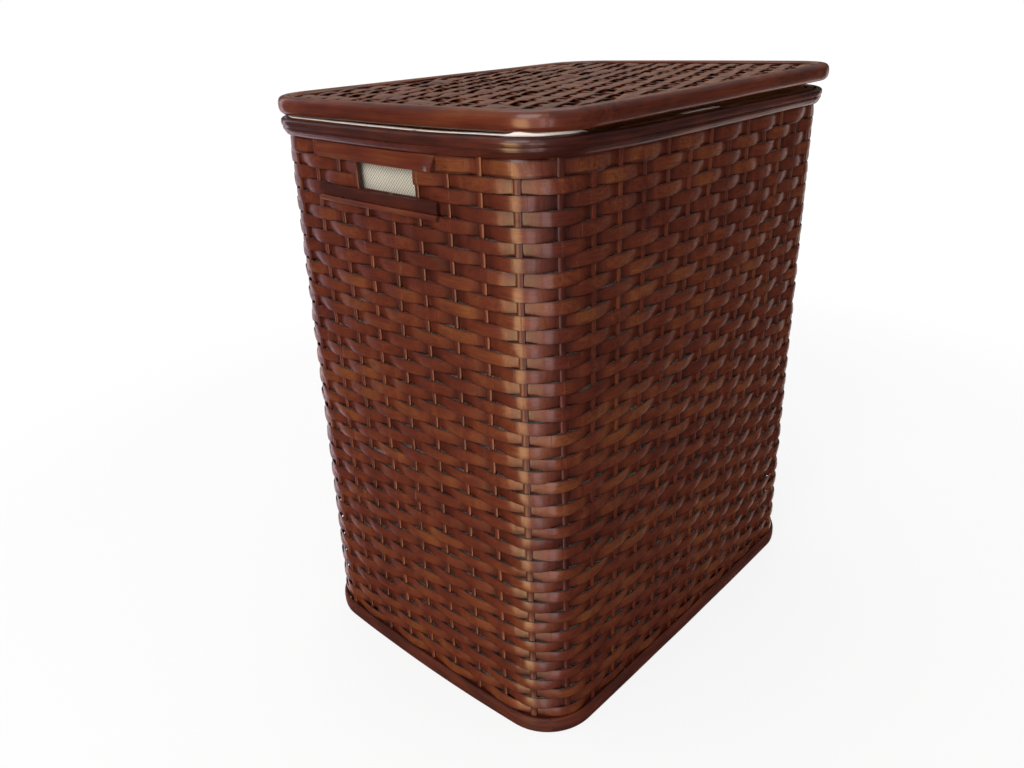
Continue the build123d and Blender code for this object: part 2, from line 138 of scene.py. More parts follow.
def corner_rise(t, z):
    """How far the wall has lifted near its front left corner, most at the mouth."""
    away = abs((t + 0.5) % 1.0 - 0.5) * ROUND
    return CORNER_RISE * smooth(1.25 - away / CORNER_REACH) * smooth((z - 0.50) / 0.08)


def wall(t, z, inset=0.0):
    """Points and outward normals on the basket's wall at heights z, inwards from the weave's outer face."""
    t, z = np.asarray(t, float), np.broadcast_to(np.asarray(z, float), np.shape(t))
    rise = (z / MOUTH)[:, None]
    (low, low_n), (high, high_n) = foot.at(t), mouth.at(t)
    normal = low_n * (1 - rise) + high_n * rise
    normal /= np.linalg.norm(normal, axis=1)[:, None]
    point = low * (1 - rise) + high * rise - normal * np.broadcast_to(inset, np.shape(t))[:, None]
    return flat3(point, z + corner_rise(t, z)), flat3(normal, 0.0)


def lid_warp(points):
    """The lid has warped a little: it sits down at the back left and lifts at the front right."""
    u, v = (np.clip(points[:, k] / LID_WARP_REACH[k] / 2 + 0.5, 0, 1) for k in (0, 1))
    front, back = (left * (1 - u) + right * u for left, right in (LID_LIFT_FRONT, LID_LIFT_BACK))
    moved = points.copy()
    moved[:, 2] += front * (1 - v) + back * v
    return moved


def drift(t, knots, size):
    """A smooth random wander round the closed outline."""
    values = rng.normal(0, size, knots)
    place = np.mod(t, 1.0) * knots
    low = np.floor(place).astype(int)
    return values[low % knots] + (values[(low + 1) % knots] - values[low % knots]) * smooth(place - low)


# ---------------------------------------------------------------- strips
class Strips:
    """Collects swept strips into one mesh. Each keeps its own length, width and tone for its material."""

    def __init__(self):
        self.points, self.quads, self.caps, self.marks, self.count = [], [], [], [], 0

    def sweep(self, centre, out, profile, width=1.0, depth=1.0, tone=0.5, closed=False):
        """profile goes up the outer side and down the inner one, as (across, outwards) pairs."""
        centre, out = np.asarray(centre, float), np.asarray(out, float)
        n = len(centre)
        if closed:
            run = np.roll(centre, -1, 0) - np.roll(centre, 1, 0)
            step = np.linalg.norm(centre - np.roll(centre, 1, 0), axis=1)
            step[0] = 0
        else:
            run = np.gradient(centre, axis=0)
            step = np.concatenate([[0], np.linalg.norm(np.diff(centre, axis=0), axis=1)])
        run /= np.linalg.norm(run, axis=1)[:, None]
        out = out - run * (out * run).sum(1)[:, None]
        out /= np.linalg.norm(out, axis=1)[:, None]
        up = np.cross(out, run)
        profile = np.asarray(profile, float)
        if profile.ndim == 2:
            profile = np.broadcast_to(profile, (n, *profile.shape))
        m = profile.shape[1]
        width, depth = (np.broadcast_to(v, n)[:, None] for v in (width, depth))
        w, d = profile[:, :, 0] * width, profile[:, :, 1] * depth
        points = centre[:, None] + up[:, None] * w[:, :, None] + out[:, None] * d[:, :, None]
        along = np.broadcast_to((np.cumsum(step) + rng.uniform(0, 40))[:, None], (n, m))
        tones = np.broadcast_to(np.broadcast_to(tone, n)[:, None], (n, m))
        i, j = np.meshgrid(np.arange(n if closed else n - 1), np.arange(m), indexing="ij")
        i2, j2 = (i + 1) % n, (j + 1) % m
        quads = np.stack([i * m + j, i2 * m + j, i2 * m + j2, i * m + j2], -1).reshape(-1, 4) + self.count
        self.points.append(points.reshape(-1, 3))
        self.marks.append(np.stack([along, w, tones], -1).reshape(-1, 3))
        self.quads.append(quads)
        if not closed:
            first = self.count + np.arange(m)
            self.caps += [first.tolist(), (first + (n - 1) * m)[::-1].tolist()]
        self.count += n * m

    def build(self, name, material, body, slot=None, replaces=(), warp=None, sharp=40):
        points = np.concatenate(self.points)
        if warp:
            points = warp(points)
        marks = np.concatenate(self.marks)
        faces = np.concatenate(self.quads).tolist() + self.caps
        return mesh_piece(name, points, faces, marks, material, body, replaces, sharp)


def mesh_piece(name, points, faces, marks, material, body, replaces, sharp):
    mesh = bpy.data.meshes.new(name)
    mesh.from_pydata(points.tolist(), [], faces)
    for k, key in enumerate(("along", "across", "tone")):
        mesh.attributes.new(key, "FLOAT", "POINT").data.foreach_set("value", marks[:, k].astype(np.float32))
    mesh.polygons.foreach_set("use_smooth", np.ones(len(mesh.polygons), bool))
    mesh.set_sharp_from_angle(angle=math.radians(sharp))
    mesh.materials.append(material)
    piece = bpy.data.objects.new(name, mesh)
    bpy.context.scene.collection.objects.link(piece)
    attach(piece, body)
    if replaces:
        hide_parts(*replaces)
    return piece


def splint_profile(crown):
    """A splint's cross-section, one unit wide and one thick, its outer face crowned and its edges eased."""
    outer = [(-0.5, -0.15), (-0.47, 0.28), (-0.25, 0.5 + crown * 0.75), (0, 0.5 + crown),
             (0.25, 0.5 + crown * 0.75), (0.47, 0.28), (0.5, -0.15)]
    return outer + [(0.46, -0.5), (-0.46, -0.5)]


def rounded(width, depth, power, count):
    """A closed oval cross-section, up the outer side and down the inner one; more power is squarer."""
    turn = np.linspace(-math.pi / 2, 1.5 * math.pi, count, endpoint=False)
    c, s = np.cos(turn), np.sin(turn)
    w = np.sign(s) * abs(s) ** (2 / power) * width / 2
    d = np.sign(c) * abs(c) ** (2 / power) * depth / 2
    return np.stack([w, d], 1)


# ---------------------------------------------------------------- materials
def node(tree, kind, inputs=(), **settings):
    made = tree.nodes.new("ShaderNode" + kind)
    for key, value in settings.items():
        setattr(made, key, value)
    for key, value in dict(inputs).items():
        if isinstance(value, bpy.types.NodeSocket):
            tree.links.new(value, made.inputs[key])
        else:
            made.inputs[key].default_value = value
    return made


def calc(tree, operation, a, b=0.0):
    return node(tree, "Math", {0: a, 1: b}, operation=operation).outputs[0]


def weighted(tree, a, b, by_a, by_b):
    """a times by_a, plus b times by_b."""
    return calc(tree, "ADD", calc(tree, "MULTIPLY", a, by_a), calc(tree, "MULTIPLY", b, by_b))


def span(tree, value, low, high, to_low=0.0, to_high=1.0, kind="SMOOTHSTEP"):
    inputs = {0: value, 1: low, 2: high, 3: to_low, 4: to_high}
    return node(tree, "MapRange", inputs, interpolation_type=kind).outputs[0]


def noise(tree, vector, scale=1.0, detail=3.0, roughness=0.6):
    inputs = {"Vector": vector, "Scale": scale, "Detail": detail, "Roughness": roughness}
    return node(tree, "TexNoise", inputs).outputs[0]


def bump(tree, height, strength):
    return node(tree, "Bump", {"Height": height, "Strength": strength, "Distance": 0.0004}).outputs[0]


def blend(tree, factor, a, b, kind="MIX"):
    return node(tree, "Mix", {0: factor, 6: a, 7: b}, data_type="RGBA", blend_type=kind).outputs[2]


def ramp(tree, factor, stops):
    made = node(tree, "ValToRGB", {0: factor})
    band = made.color_ramp
    while len(band.elements) < len(stops):
        band.elements.new(0.5)
    for element, (place, colour) in zip(band.elements, stops):
        element.position, element.color = place, (*colour, 1.0)
    return made.outputs[0]


def grey(value):
    return (value, value, value)


def new_material(name):
    made = bpy.data.materials.new(name)
    made.use_nodes = True
    tree = made.node_tree
    return made, tree, tree.nodes["Principled BSDF"]


def strip_coordinates(tree):
    keys = ("along", "across", "tone")
    return [node(tree, "Attribute", attribute_name=key).outputs["Fac"] for key in keys]


def object_coordinates(tree, grain_axis, pitch):
    """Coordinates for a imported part. Its grain follows an axis or goes round; each splint has its tone."""
    place = node(tree, "SeparateXYZ", {0: node(tree, "TexCoord").outputs["Object"]})
    if grain_axis == "round":
        x, y, z = place.outputs
        along = calc(tree, "ADD", x, y)
        return along, z, calc(tree, "MULTIPLY", z, 3.0)
    along, across = place.outputs[grain_axis], place.outputs[1 if grain_axis == 0 else 0]
    index = calc(tree, "FLOOR", calc(tree, "DIVIDE", across, pitch))
    return along, across, node(tree, "TexWhiteNoise", {"W": index}, noise_dimensions="1D").outputs[0]


DARK, MID, LIGHT = (0.026, 0.0036, 0.0020), (0.090, 0.0150, 0.0050), (0.170, 0.0500, 0.0095)


def stained(name, coordinates=strip_coordinates, fibre_size=1.0, roughness=0.42, coat=0.45, relief=0.6,
            joints=True, base=0.0, edge=None):
    """Split bamboo under a dark lacquer: fibres along it, stain pooled in patches, a joint now and then."""
    made, tree, shader = new_material(name)
    along, across, tone = coordinates(tree)

    def stretched(by_along, by_across, by_tone):
        return node(tree, "CombineXYZ", {0: calc(tree, "MULTIPLY", along, by_along),
                                         1: calc(tree, "MULTIPLY", across, by_across),
                                         2: calc(tree, "MULTIPLY", tone, by_tone)}).outputs[0]

    fibre = noise(tree, stretched(20 / fibre_size, 760 / fibre_size, 31), detail=5, roughness=0.66)
    streak = noise(tree, stretched(5, 300 / fibre_size, 77), detail=2)
    patch = noise(tree, stretched(16, 70, 13), detail=3, roughness=0.55)
    cloud = noise(tree, node(tree, "TexCoord").outputs["Object"], 11, 3, 0.6)
    depth = base - 0.35
    for part, share in ((tone, 0.26), (streak, 0.40), (patch, 0.60), (cloud, 0.45)):
        depth = calc(tree, "ADD", depth, calc(tree, "MULTIPLY", part, share))
    colour = ramp(tree, depth, [(0.14, DARK), (0.5, MID), (0.86, LIGHT)])
    shade = ramp(tree, fibre, [(0.32, grey(0.34)), (0.53, grey(0.92)), (0.70, grey(1.08))])
    colour = blend(tree, 0.75, colour, shade, "MULTIPLY")
    height = calc(tree, "MULTIPLY", fibre, 0.7)
    # painted shade: a splint given an edge darkens towards its edges, standing in for the shade in the gaps
    # between rows
    if edge:
        painted_edge_shade = span(tree, calc(tree, "ABSOLUTE", across), edge * 0.72, edge * 1.02)
        colour = blend(tree, calc(tree, "MULTIPLY", painted_edge_shade, 0.75), colour, (*DARK, 1.0))
    if joints:
        cycle = calc(tree, "FRACT", weighted(tree, along, tone, 3.3, 9.0))
        joint = span(tree, calc(tree, "ABSOLUTE", calc(tree, "SUBTRACT", cycle, 0.5)), 0.0, 0.006, 1.0, 0.0)
        colour = blend(tree, calc(tree, "MULTIPLY", joint, 0.5), colour, (*DARK, 1.0))
        height = calc(tree, "ADD", height, calc(tree, "MULTIPLY", joint, 0.8))
    tree.links.new(colour, shader.inputs["Base Color"])
    uneven = span(tree, fibre, 0.3, 0.7, roughness + 0.12, roughness - 0.04)
    tree.links.new(uneven, shader.inputs["Roughness"])
    fibres = bump(tree, height, relief)
    tree.links.new(fibres, shader.inputs["Normal"])
    tree.links.new(fibres, shader.inputs["Coat Normal"])
    shader.inputs["Specular IOR Level"].default_value = 0.2
    shader.inputs["Coat Weight"].default_value = coat
    shader.inputs["Coat Roughness"].default_value = 0.16
    return made


weaver_stain = stained("weaver_stain", base=0.02, edge=0.0061)
stake_stain = stained("stake_stain", fibre_size=1.3, base=-0.07, coat=0.25)
rim_stain = stained("rim_stain", fibre_size=1.7, base=-0.27, roughness=0.5, coat=0.6, joints=False)
base_stain = stained("base_stain", fibre_size=1.9, base=-0.17, roughness=0.6, coat=0.05, relief=1.0,
                     joints=False)
lid_hoop_stain = stained("lid_hoop_stain", fibre_size=1.8, joints=False)
lid_splint_stain = stained("lid_splint_stain", base=-0.05)
batten_stain = stained("batten_stain", fibre_size=1.5, joints=False)


def bare_inside(name, coordinates):
    """The inner sides: the same bamboo with a thinner coat of stain."""
    return stained(name, coordinates, fibre_size=1.6, roughness=0.5, coat=0.05, base=0.05, joints=False)


inside_round = bare_inside("inside_round", lambda tree: object_coordinates(tree, "round", 1.0))
floor_long = bare_inside("floor_long", lambda tree: object_coordinates(tree, 0, 0.022))
floor_cross = bare_inside("floor_cross", lambda tree: object_coordinates(tree, 1, 0.022))


def steel_material():
    made, tree, shader = new_material("nail_steel")
    place = node(tree, "TexCoord").outputs["Object"]
    stain = noise(tree, place, 900, 2)
    colour = ramp(tree, stain, [(0.35, (0.20, 0.17, 0.14)), (0.65, (0.42, 0.40, 0.37))])
    tree.links.new(colour, shader.inputs["Base Color"])
    tree.links.new(span(tree, stain, 0.3, 0.7, 0.55, 0.3), shader.inputs["Roughness"])
    shader.inputs["Metallic"].default_value = 0.9
    return made


def cloth_material():
    """Cream mesh cloth, its threads crossing on the diagonal; where tone is one, the hem's white tape."""
    made, tree, shader = new_material("liner_cloth")
    along, across, tone = strip_coordinates(tree)
    cell = 0.0034
    place = node(tree, "CombineXYZ", {0: along, 1: across, 2: tone}).outputs[0]
    warm = noise(tree, place, 14, 3)
    threads = []
    for way in ("ADD", "SUBTRACT"):
        wave = calc(tree, "SINE", calc(tree, "MULTIPLY", calc(tree, way, along, across), math.pi / cell))
        threads.append(calc(tree, "ABSOLUTE", wave))
    thread = span(tree, calc(tree, "MINIMUM", *threads), 0.0, 0.45, 1.0, 0.0)
    fuzz = noise(tree, place, 2600, 2)
    colour = ramp(tree, warm, [(0.3, (0.66, 0.60, 0.49)), (0.7, (0.80, 0.75, 0.64))])
    hollow = calc(tree, "MULTIPLY", calc(tree, "SUBTRACT", 1.0, thread), 0.85)
    colour = blend(tree, hollow, colour, (0.17, 0.14, 0.09, 1.0))
    colour = blend(tree, tone, colour, (0.68, 0.59, 0.53, 1.0))
    tree.links.new(colour, shader.inputs["Base Color"])
    shader.inputs["Roughness"].default_value = 0.9
    shader.inputs["Sheen Weight"].default_value = 0.3
    thread = calc(tree, "MULTIPLY", thread, calc(tree, "SUBTRACT", 1.0, tone))
    height = calc(tree, "ADD", thread, calc(tree, "MULTIPLY", fuzz, 0.3))
    tree.links.new(bump(tree, height, 0.5), shader.inputs["Normal"])
    return made


nail_steel, liner_cloth = steel_material(), cloth_material()

# ---------------------------------------------------------------- weavers
STEP = 10                                   # points from one stake to the next
GROUPS, WAVES = 4, 5                        # pieces the rows are shared among, and rows' common waves
steps_round = np.linspace(0, 1, STAKES * STEP, endpoint=False)
common_wave = [drift(steps_round, 23, 0.0004) for _ in range(WAVES)]


def at_stakes(values, place):
    """Values given at the stakes, eased from each stake to the next."""
    low = np.floor(place).astype(int) % STAKES
    part = smooth(place - np.floor(place))
    return values[low] * (1 - part) + values[(low + 1) % STAKES] * part


def weaver(strips, row, start, end, own_wave, own_tilt, own_tone, tone):
    """One row from share start to share end, outside and inside the stakes by turns."""
    count = max(2, int(round((end - start) * STAKES * STEP)))
    closed = end - start >= 1.0
    t = start + (end - start) * np.arange(count if closed else count + 1) / count
    swing = np.cos(math.pi * (STAKES * t - 0.5)) * (1 if row % 2 == 0 else -1)
    inset = WEAVE_MIDDLE - SWING * swing * (1.12 - 0.12 * swing**2)
    place = np.mod(t, 1.0) * STAKES
    common = np.interp(np.mod(t, 1.0), steps_round, common_wave[row * WAVES // ROWS], period=1)
    # the rows wander less towards the base and the rim
    held = math.sin(math.pi * min(1, row / (ROWS - 1) * 1.06)) ** 0.4
    z = BASE_TOP + (row + 0.5) * PITCH + (at_stakes(own_wave, place) + common) * held
    width = WEAVER_WIDTH + WIDTH_SWING * swing
    if row == ROWS - 1:
        width, z = width + TOP_ROW_WIDENING, z + TOP_ROW_RISE
    centre, out = wall(t, z, inset)
    out[:, 2] += at_stakes(own_tilt, place)
    switch = int(rng.integers(0, STAKES))
    tones = np.where(np.mod(place - switch, STAKES) < STAKES * 0.6, tone[0], tone[1])
    # painted shade: the tone drops where the weaver dives behind a stake, standing in for the shade of the
    # stake and the rows either side
    tones = np.clip(tones + at_stakes(own_tone, place), 0, 1) - 0.9 * smooth(-0.05 - swing)
    strips.sweep(centre, out, splint_profile(0.18), width, SPLINT, tones, closed=closed)


def slot_share(side, y):
    """Share of the way round at which the mouth's left or right side crosses y."""
    x_all, y_all = mouth.table[0], mouth.table[1]
    on_side = np.flatnonzero((np.sign(x_all) == side) & (abs(x_all) > 0.24))
    return float(mouth.grid[on_side[np.argmin(abs(y_all[on_side] - y))]])


right_open = [slot_share(1, SLOT_OFFSET + way * SLOT_HALF) for way in (-1, 1)]
left_open = [slot_share(-1, -SLOT_OFFSET - way * SLOT_HALF) for way in (-1, 1)]

group_rows = np.array_split(np.arange(ROWS), GROUPS)
for group, rows in enumerate(group_rows):
    strips = Strips()
    for row in rows:
        own_wave, own_tilt = rng.normal(0, 0.00038, STAKES), rng.normal(0, 0.06, STAKES)
        own_tone = rng.normal(0, 0.14, STAKES)
        tone = rng.uniform(0.2, 0.8, 2)
        runs = [(0.0, 1.0)]
        if row in SLOT_ROWS:
            runs = [(left_open[1] - 1, right_open[0]), (right_open[1], left_open[0])]
        for start, end in runs:
            weaver(strips, int(row), start, end, own_wave, own_tilt, own_tone, tone)
    strips.build(f"weavers_{group + 1}", weaver_stain, "basket", "weavers",
                 ("outer_weavers", "inner_weavers"))

# ---------------------------------------------------------------- stakes
STAKE_FOOT, STAKE_TOP = 0.002, MOUTH - 0.001
sides = {side: Strips() for side in ("front", "back", "left", "right", "corner")}
for stake in range(STAKES):
    share = (stake + 0.5) / STAKES
    (x, y), _ = (v[0] for v in foot.at(np.array([share])))
    corner = abs(x) > FOOT_HALF[0] - BASKET_CORNER and abs(y) > FOOT_HALF[1] - BASKET_CORNER
    if corner:
        side = "corner"
    elif abs(x) > FOOT_HALF[0] - BASKET_CORNER:
        side = "left" if x < 0 else "right"
    else:
        side = "front" if y < 0 else "back"
    wander = rng.normal(0, 0.0005, 8)
    pieces = [(STAKE_FOOT, STAKE_TOP)]
    if side in ("left", "right") and abs(y - math.copysign(SLOT_OFFSET, x)) < SLOT_HALF:
        pieces = [(STAKE_FOOT, SLOT_LOW), (SLOT_HIGH, STAKE_TOP)]
    for low, high in pieces:
        z = np.linspace(low, high, max(4, int((high - low) / PITCH * 4)))
        swing = np.cos(math.pi * ((z - BASE_TOP) / PITCH - 0.5 + stake))
        inside = smooth((z - BASE_TOP) / 0.01) * smooth((RIM_LOW - z) / 0.01)
        shift = np.interp(z, np.linspace(0, MOUTH, 8), wander) / ROUND
        centre, out = wall(share + shift, z, WEAVE_MIDDLE - 0.00025 * swing * inside)
        width = (CORNER_STAKE_WIDTH if corner else STAKE_WIDTH) * (1 + 0.05 * rng.normal())
        sides[side].sweep(centre, out, splint_profile(0.08), width, STAKE_DEPTH, rng.uniform(-0.2, 0.9))
for side, strips in sides.items():
    strips.build(f"{side}_stake_splints", stake_stain, "basket", "stakes", (f"{side}_stakes",))


# ---------------------------------------------------------------- hoops
HOOP_POINTS = 560


def lid_at(inset):
    """A function like wall, for a hoop that far inside the lid's outline."""
    def at(t, z):
        point, normal = lid_edge.at(t)
        return flat3(point - normal * inset, z), flat3(normal, 0.0)

    return at


def hoop(name, material, body, slot, replaces, outline_at, z, profile, wobble=0.0002, bend=0.0002,
         warp=None, front_shade=0.0):
    """A closed bent hoop: wobble is how much it wanders up and down, bend how much in and out."""
    strips = Strips()
    t = np.arange(HOOP_POINTS) / HOOP_POINTS
    centre, out = outline_at(t, z + drift(t, 17, wobble))
    centre[:, :2] += out[:, :2] * drift(t, 29, bend)[:, None]
    # painted shade: front_shade lowers the tone along the front side, standing in for the shade that side
    # lies in
    front_shade_mask = smooth((t - 0.01) / 0.04) * smooth((0.34 - t) / 0.04)
    strips.sweep(centre, out, profile, tone=0.5 + drift(t, 7, 0.12) + front_shade * front_shade_mask, closed=True)
    return strips.build(name, material, body, slot, replaces, warp=warp, sharp=50)


BACK = -0.0009                              # back of the outer hoops, against the stakes
# the rim's section from bottom to top: one broad swell, with a faint groove where its two hoops meet
SWELL_AT = (0, 0.05, 0.14, 0.32, 0.45, 0.50, 0.55, 0.70, 0.86, 0.95, 1.0)
SWELL = (0.0004, 0.0015, 0.0026, 0.0042, 0.0048, 0.0045, 0.0050, 0.0058, 0.0054, 0.0040, 0.0016)


def rim_section(low, high):
    """The part of the bound rim between two heights."""
    z = np.linspace(low, high, 19)
    swell = np.interp((z - RIM_LOW) / (MOUTH - RIM_LOW), SWELL_AT, SWELL)
    half = (high - low) / 2
    return list(zip(z - (low + high) / 2, swell)) + [(half * 0.9, BACK), (-half * 0.9, BACK)]


for name, replaced, low, high in (
    ("rim_hoop", "rim_upper_hoop", RIM_SPLIT, MOUTH), ("rim_band", "rim_lower_band", RIM_LOW, RIM_SPLIT)
):
    hoop(name, rim_stain, "basket", "hoops", (replaced,), wall, (low + high) / 2, rim_section(low, high))

base_half = BASE_TOP / 2
arch = []
for a in np.linspace(-math.pi / 2, math.pi / 2, 17):
    across = base_half * math.copysign(abs(math.sin(a)) ** 0.85, a)
    arch.append((across, 0.0002 + 0.0027 * abs(math.cos(a)) ** 0.6))
hoop("base_rim", base_stain, "basket", "hoops", ("base_hoop",), wall, base_half,
     arch + [(base_half * 0.96, BACK), (-base_half * 0.96, BACK)], wobble=0.0, bend=0.00015)

lid_profile = rounded(LID_HIGH - LID_LOW, LID_RIM_WIDTH, 2.5, 30)
# the lid rim's front side gets painted shade
hoop("lid_rim", lid_hoop_stain, "lid", "lid_hoops", ("lid_hoop",), lid_at(LID_RIM_WIDTH / 2),
     (LID_LOW + LID_HIGH) / 2, lid_profile, wobble=0.00015, bend=0.00025, warp=lid_warp, front_shade=-0.4)

TRIM_SIZE, TRIM_GAP = 0.0026, 0.0012
trim_low, trim_high = (end.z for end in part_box("lid_trim"))
hoop("lid_inner_bead", lid_hoop_stain, "lid", "lid_hoops", ("lid_trim",), lid_at(LID_RIM_WIDTH + TRIM_GAP),
     (trim_low + trim_high) / 2, rounded(TRIM_SIZE, TRIM_SIZE, 2.2, 10), warp=lid_warp)

# ---------------------------------------------------------------- lid panel
PANEL_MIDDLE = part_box("lid_long_splints")[1].z - SPLINT
PANEL_TUCK = 0.004                          # how far the panel runs into the lid's rim
LONG_PITCH, CROSS_PITCH = 0.0116, 0.0336
PANEL_SWING = 0.0022
CROSS_WIDTH, CROSS_THICKNESS = 0.0062, 0.0018
edge_points, edge_normals = lid_edge.at(lid_edge.grid)
edge_points = edge_points - edge_normals * (LID_RIM_WIDTH - PANEL_TUCK)


def reach_at(value, axis):
    """How far the panel reaches along the other axis where this axis has that value."""
    near = abs(edge_points[:, axis] - value) < 0.0006
    return float(abs(edge_points[near, 1 - axis]).max()) if near.any() else 0.0


long_rows = int(2 * edge_points[:, 1].max() / LONG_PITCH)
cross_count = int(2 * edge_points[:, 0].max() / CROSS_PITCH)
cross_shift = 0.5 if cross_count % 2 == 0 else 0
long_shift = 0.5 if long_rows % 2 == 0 else 0
strips = Strips()
for row in range(long_rows):
    y = (row - (long_rows - 1) / 2) * LONG_PITCH
    reach = min(reach_at(y - 0.005, 1), reach_at(y + 0.005, 1))
    if reach < 0.05:
        continue
    x = np.linspace(-reach, reach, int(2 * reach / 0.0034))
    swing = np.cos(math.pi * (x / CROSS_PITCH + cross_shift)) * (1 if row % 2 == 0 else -1)
    sway = rng.normal(0, 0.0004) + 0.0004 * np.sin(x * rng.uniform(8, 22) + rng.uniform(0, 6))
    centre = np.stack([x, y + sway, PANEL_MIDDLE + PANEL_SWING * swing], 1)
    tilt = np.interp(x, np.linspace(-0.27, 0.27, 30), rng.normal(0, 0.13, 30))
    out = np.stack([np.zeros_like(x), tilt, np.ones_like(x)], 1)
    width = rng.uniform(0.0106, 0.0117) + 0.0005 * swing
    strips.sweep(centre, out, splint_profile(0.2), width, SPLINT, rng.uniform(0.2, 0.8))
strips.build("lid_long_weave", lid_splint_stain, "lid", "lid_splints", ("lid_long_splints",),
             warp=lid_warp)

strips = Strips()
for k in range(cross_count):
    x = (k - (cross_count - 1) / 2) * CROSS_PITCH
    reach = min(reach_at(x - 0.004, 0), reach_at(x + 0.004, 0))
    y = np.linspace(-reach, reach, int(2 * reach / 0.003))
    phase = 1 if (k - (cross_count - 1) // 2) % 2 == 0 else -1
    lift = -0.0002 * phase * np.cos(math.pi * (y / LONG_PITCH + long_shift))
    centre = np.stack([np.full_like(y, x) + 0.0006 * np.sin(y * 9 + k), y, PANEL_MIDDLE + lift], 1)
    out = np.tile((0.0, 0.0, 1.0), (len(y), 1))
    strips.sweep(centre, out, splint_profile(0.16), CROSS_WIDTH, CROSS_THICKNESS, rng.uniform(0.2, 0.8))
strips.build("lid_cross_weave", lid_splint_stain, "lid", "lid_splints", ("lid_cross_splints",),
             warp=lid_warp)


# ---------------------------------------------------------------- hand holes
def short_side(side, z, inset):
    """The stretch of the left or right side that the strips round its hand hole cover."""
    first, last = (slot_share(side, side * (way * STRIP_HALF - STRIP_OFFSET)) for way in (-1, 1))
    return wall(np.linspace(first, last, 60), z, inset)


for side_name, side in (("left", -1), ("right", 1)):
    low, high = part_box(f"{side_name}_handle_upper_batten")[0].z, RIM_LOW - 0.0002
    strips = Strips()
    centre, out = short_side(side, (low + high) / 2, -0.0009)
    centre[:, 2] += 0.0003 * np.sin(np.linspace(0, 7, len(centre)))
    # its last end, the front one on the left side, has sprung away from the weave
    curl = smooth(np.linspace(-9, 1, len(centre)))
    centre += out * (0.0022 * curl)[:, None]
    out[:, 2] += 0.5 * curl
    strips.sweep(centre, out, splint_profile(0.12), high - low, 0.0018, 0.6)
    strips.build(f"{side_name}_hole_upper_strip", batten_stain, "basket", "handle_battens",
                 (f"{side_name}_handle_upper_batten",))

    low, high = (end.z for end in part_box(f"{side_name}_handle_lower_batten"))
    strips = Strips()
    centre, out = short_side(side, (low + high) / 2, -0.0011)
    strips.sweep(centre, out, splint_profile(0.12), high - low, 0.0022, 0.5)
    strips.build(f"{side_name}_hole_lower_strip", rim_stain, "basket", "handle_battens",
                 (f"{side_name}_handle_lower_batten",))

    low, high = (end.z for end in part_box(f"{side_name}_handle_bead"))
    strips = Strips()
    centre, out = short_side(side, (low + high) / 2, -0.0016)
    strips.sweep(centre, out, rounded(high - low, 0.0036, 2.3, 12), tone=0.6)
    strips.build(f"{side_name}_hole_bead", batten_stain, "basket", "handle_battens",
                 (f"{side_name}_handle_bead",))

    # the weavers end round a narrow upright at one end of the hole, and round a stake at the other
    strips = Strips()
    share = slot_share(side, side * (SLOT_OFFSET - SLOT_HALF - 0.0012))
    z = np.linspace(SLOT_LOW - 0.003, SLOT_HIGH + 0.003, 14)
    centre, out = wall(np.full_like(z, share), z, WEAVE_MIDDLE)
    strips.sweep(centre, out, rounded(0.0036, 0.0046, 2.6, 12), tone=0.6)
    strips.build(f"{side_name}_hole_jamb", stake_stain, "basket", "stakes")

# ---------------------------------------------------------------- liner
ROUND_POINTS = 720
t = np.arange(ROUND_POINTS) / ROUND_POINTS
perimeter = mouth.length


def folds(z):
    """Soft upright folds that hang from the gathered hem, deeper lower down."""
    total = np.zeros_like(t)
    for count, size, phase, lean in fold_set:
        total += size * np.cos(2 * math.pi * (count * t) + phase + lean * z)
    return total


def hole_window(opening):
    """One over a hand hole's stretch of the way round, fading out either side."""
    middle, half = sum(opening) / 2, (opening[1] - opening[0]) / 2
    away = abs((t - middle + 0.5) % 1.0 - 0.5)
    return smooth((half * 2.2 - away) / (half * 1.1))


fold_set = []
for _ in range(9):
    count, size = int(rng.integers(9, 46)), rng.uniform(0.2, 0.5)
    fold_set.append((count, size, rng.uniform(0, 6.3), rng.normal(0, 5)))
sag_phase = drift(t, 12, 1.2)
rings, cloth_run = [], [0.0]


def add_ring(points):
    """The next ring of the cloth, and how far up the cloth it lies."""
    if rings:
        cloth_run.append(cloth_run[-1] + float(np.linalg.norm(points - rings[-1], axis=1).mean()))
    rings.append(points)


# where the hem bunches, slips inside the rim, shows again and is caught
past_corner = (t + 0.5) % 1.0 * perimeter - 0.5 * perimeter     # metres past the front left corner's middle


def stretch(first, last, ease_in, ease_out):
    """One between two places along the hem, fading out at either end."""
    return smooth((past_corner - first) / ease_in) * smooth((last - past_corner) / ease_out)


bunched = stretch(-0.034, 0.050, 0.022, 0.030)
front = stretch(0.040, 0.62, 0.020, 0.05)
shown = stretch(0.165, 0.270, 0.03, 0.03)
caught = smooth(1 - abs(past_corner + 0.125) / 0.005)
slipped = HEM_SLIP * front * (1 - shown)

# the bottom, from near the middle out to the foot of the wall
foot_ring, _ = wall(t, LINER_LOW, LINER_INSET)
for scale in np.linspace(0.02, 0.97, 22):
    ring = foot_ring.copy()
    ring[:, :2] *= scale
    ripple = 0.0008 * (1 + np.cos(9 * scale + 4 * math.pi * t + sag_phase))
    ring[:, 2] = LINER_LOW + 0.0012 + ripple * math.sin(math.pi * scale)
    add_ring(ring)

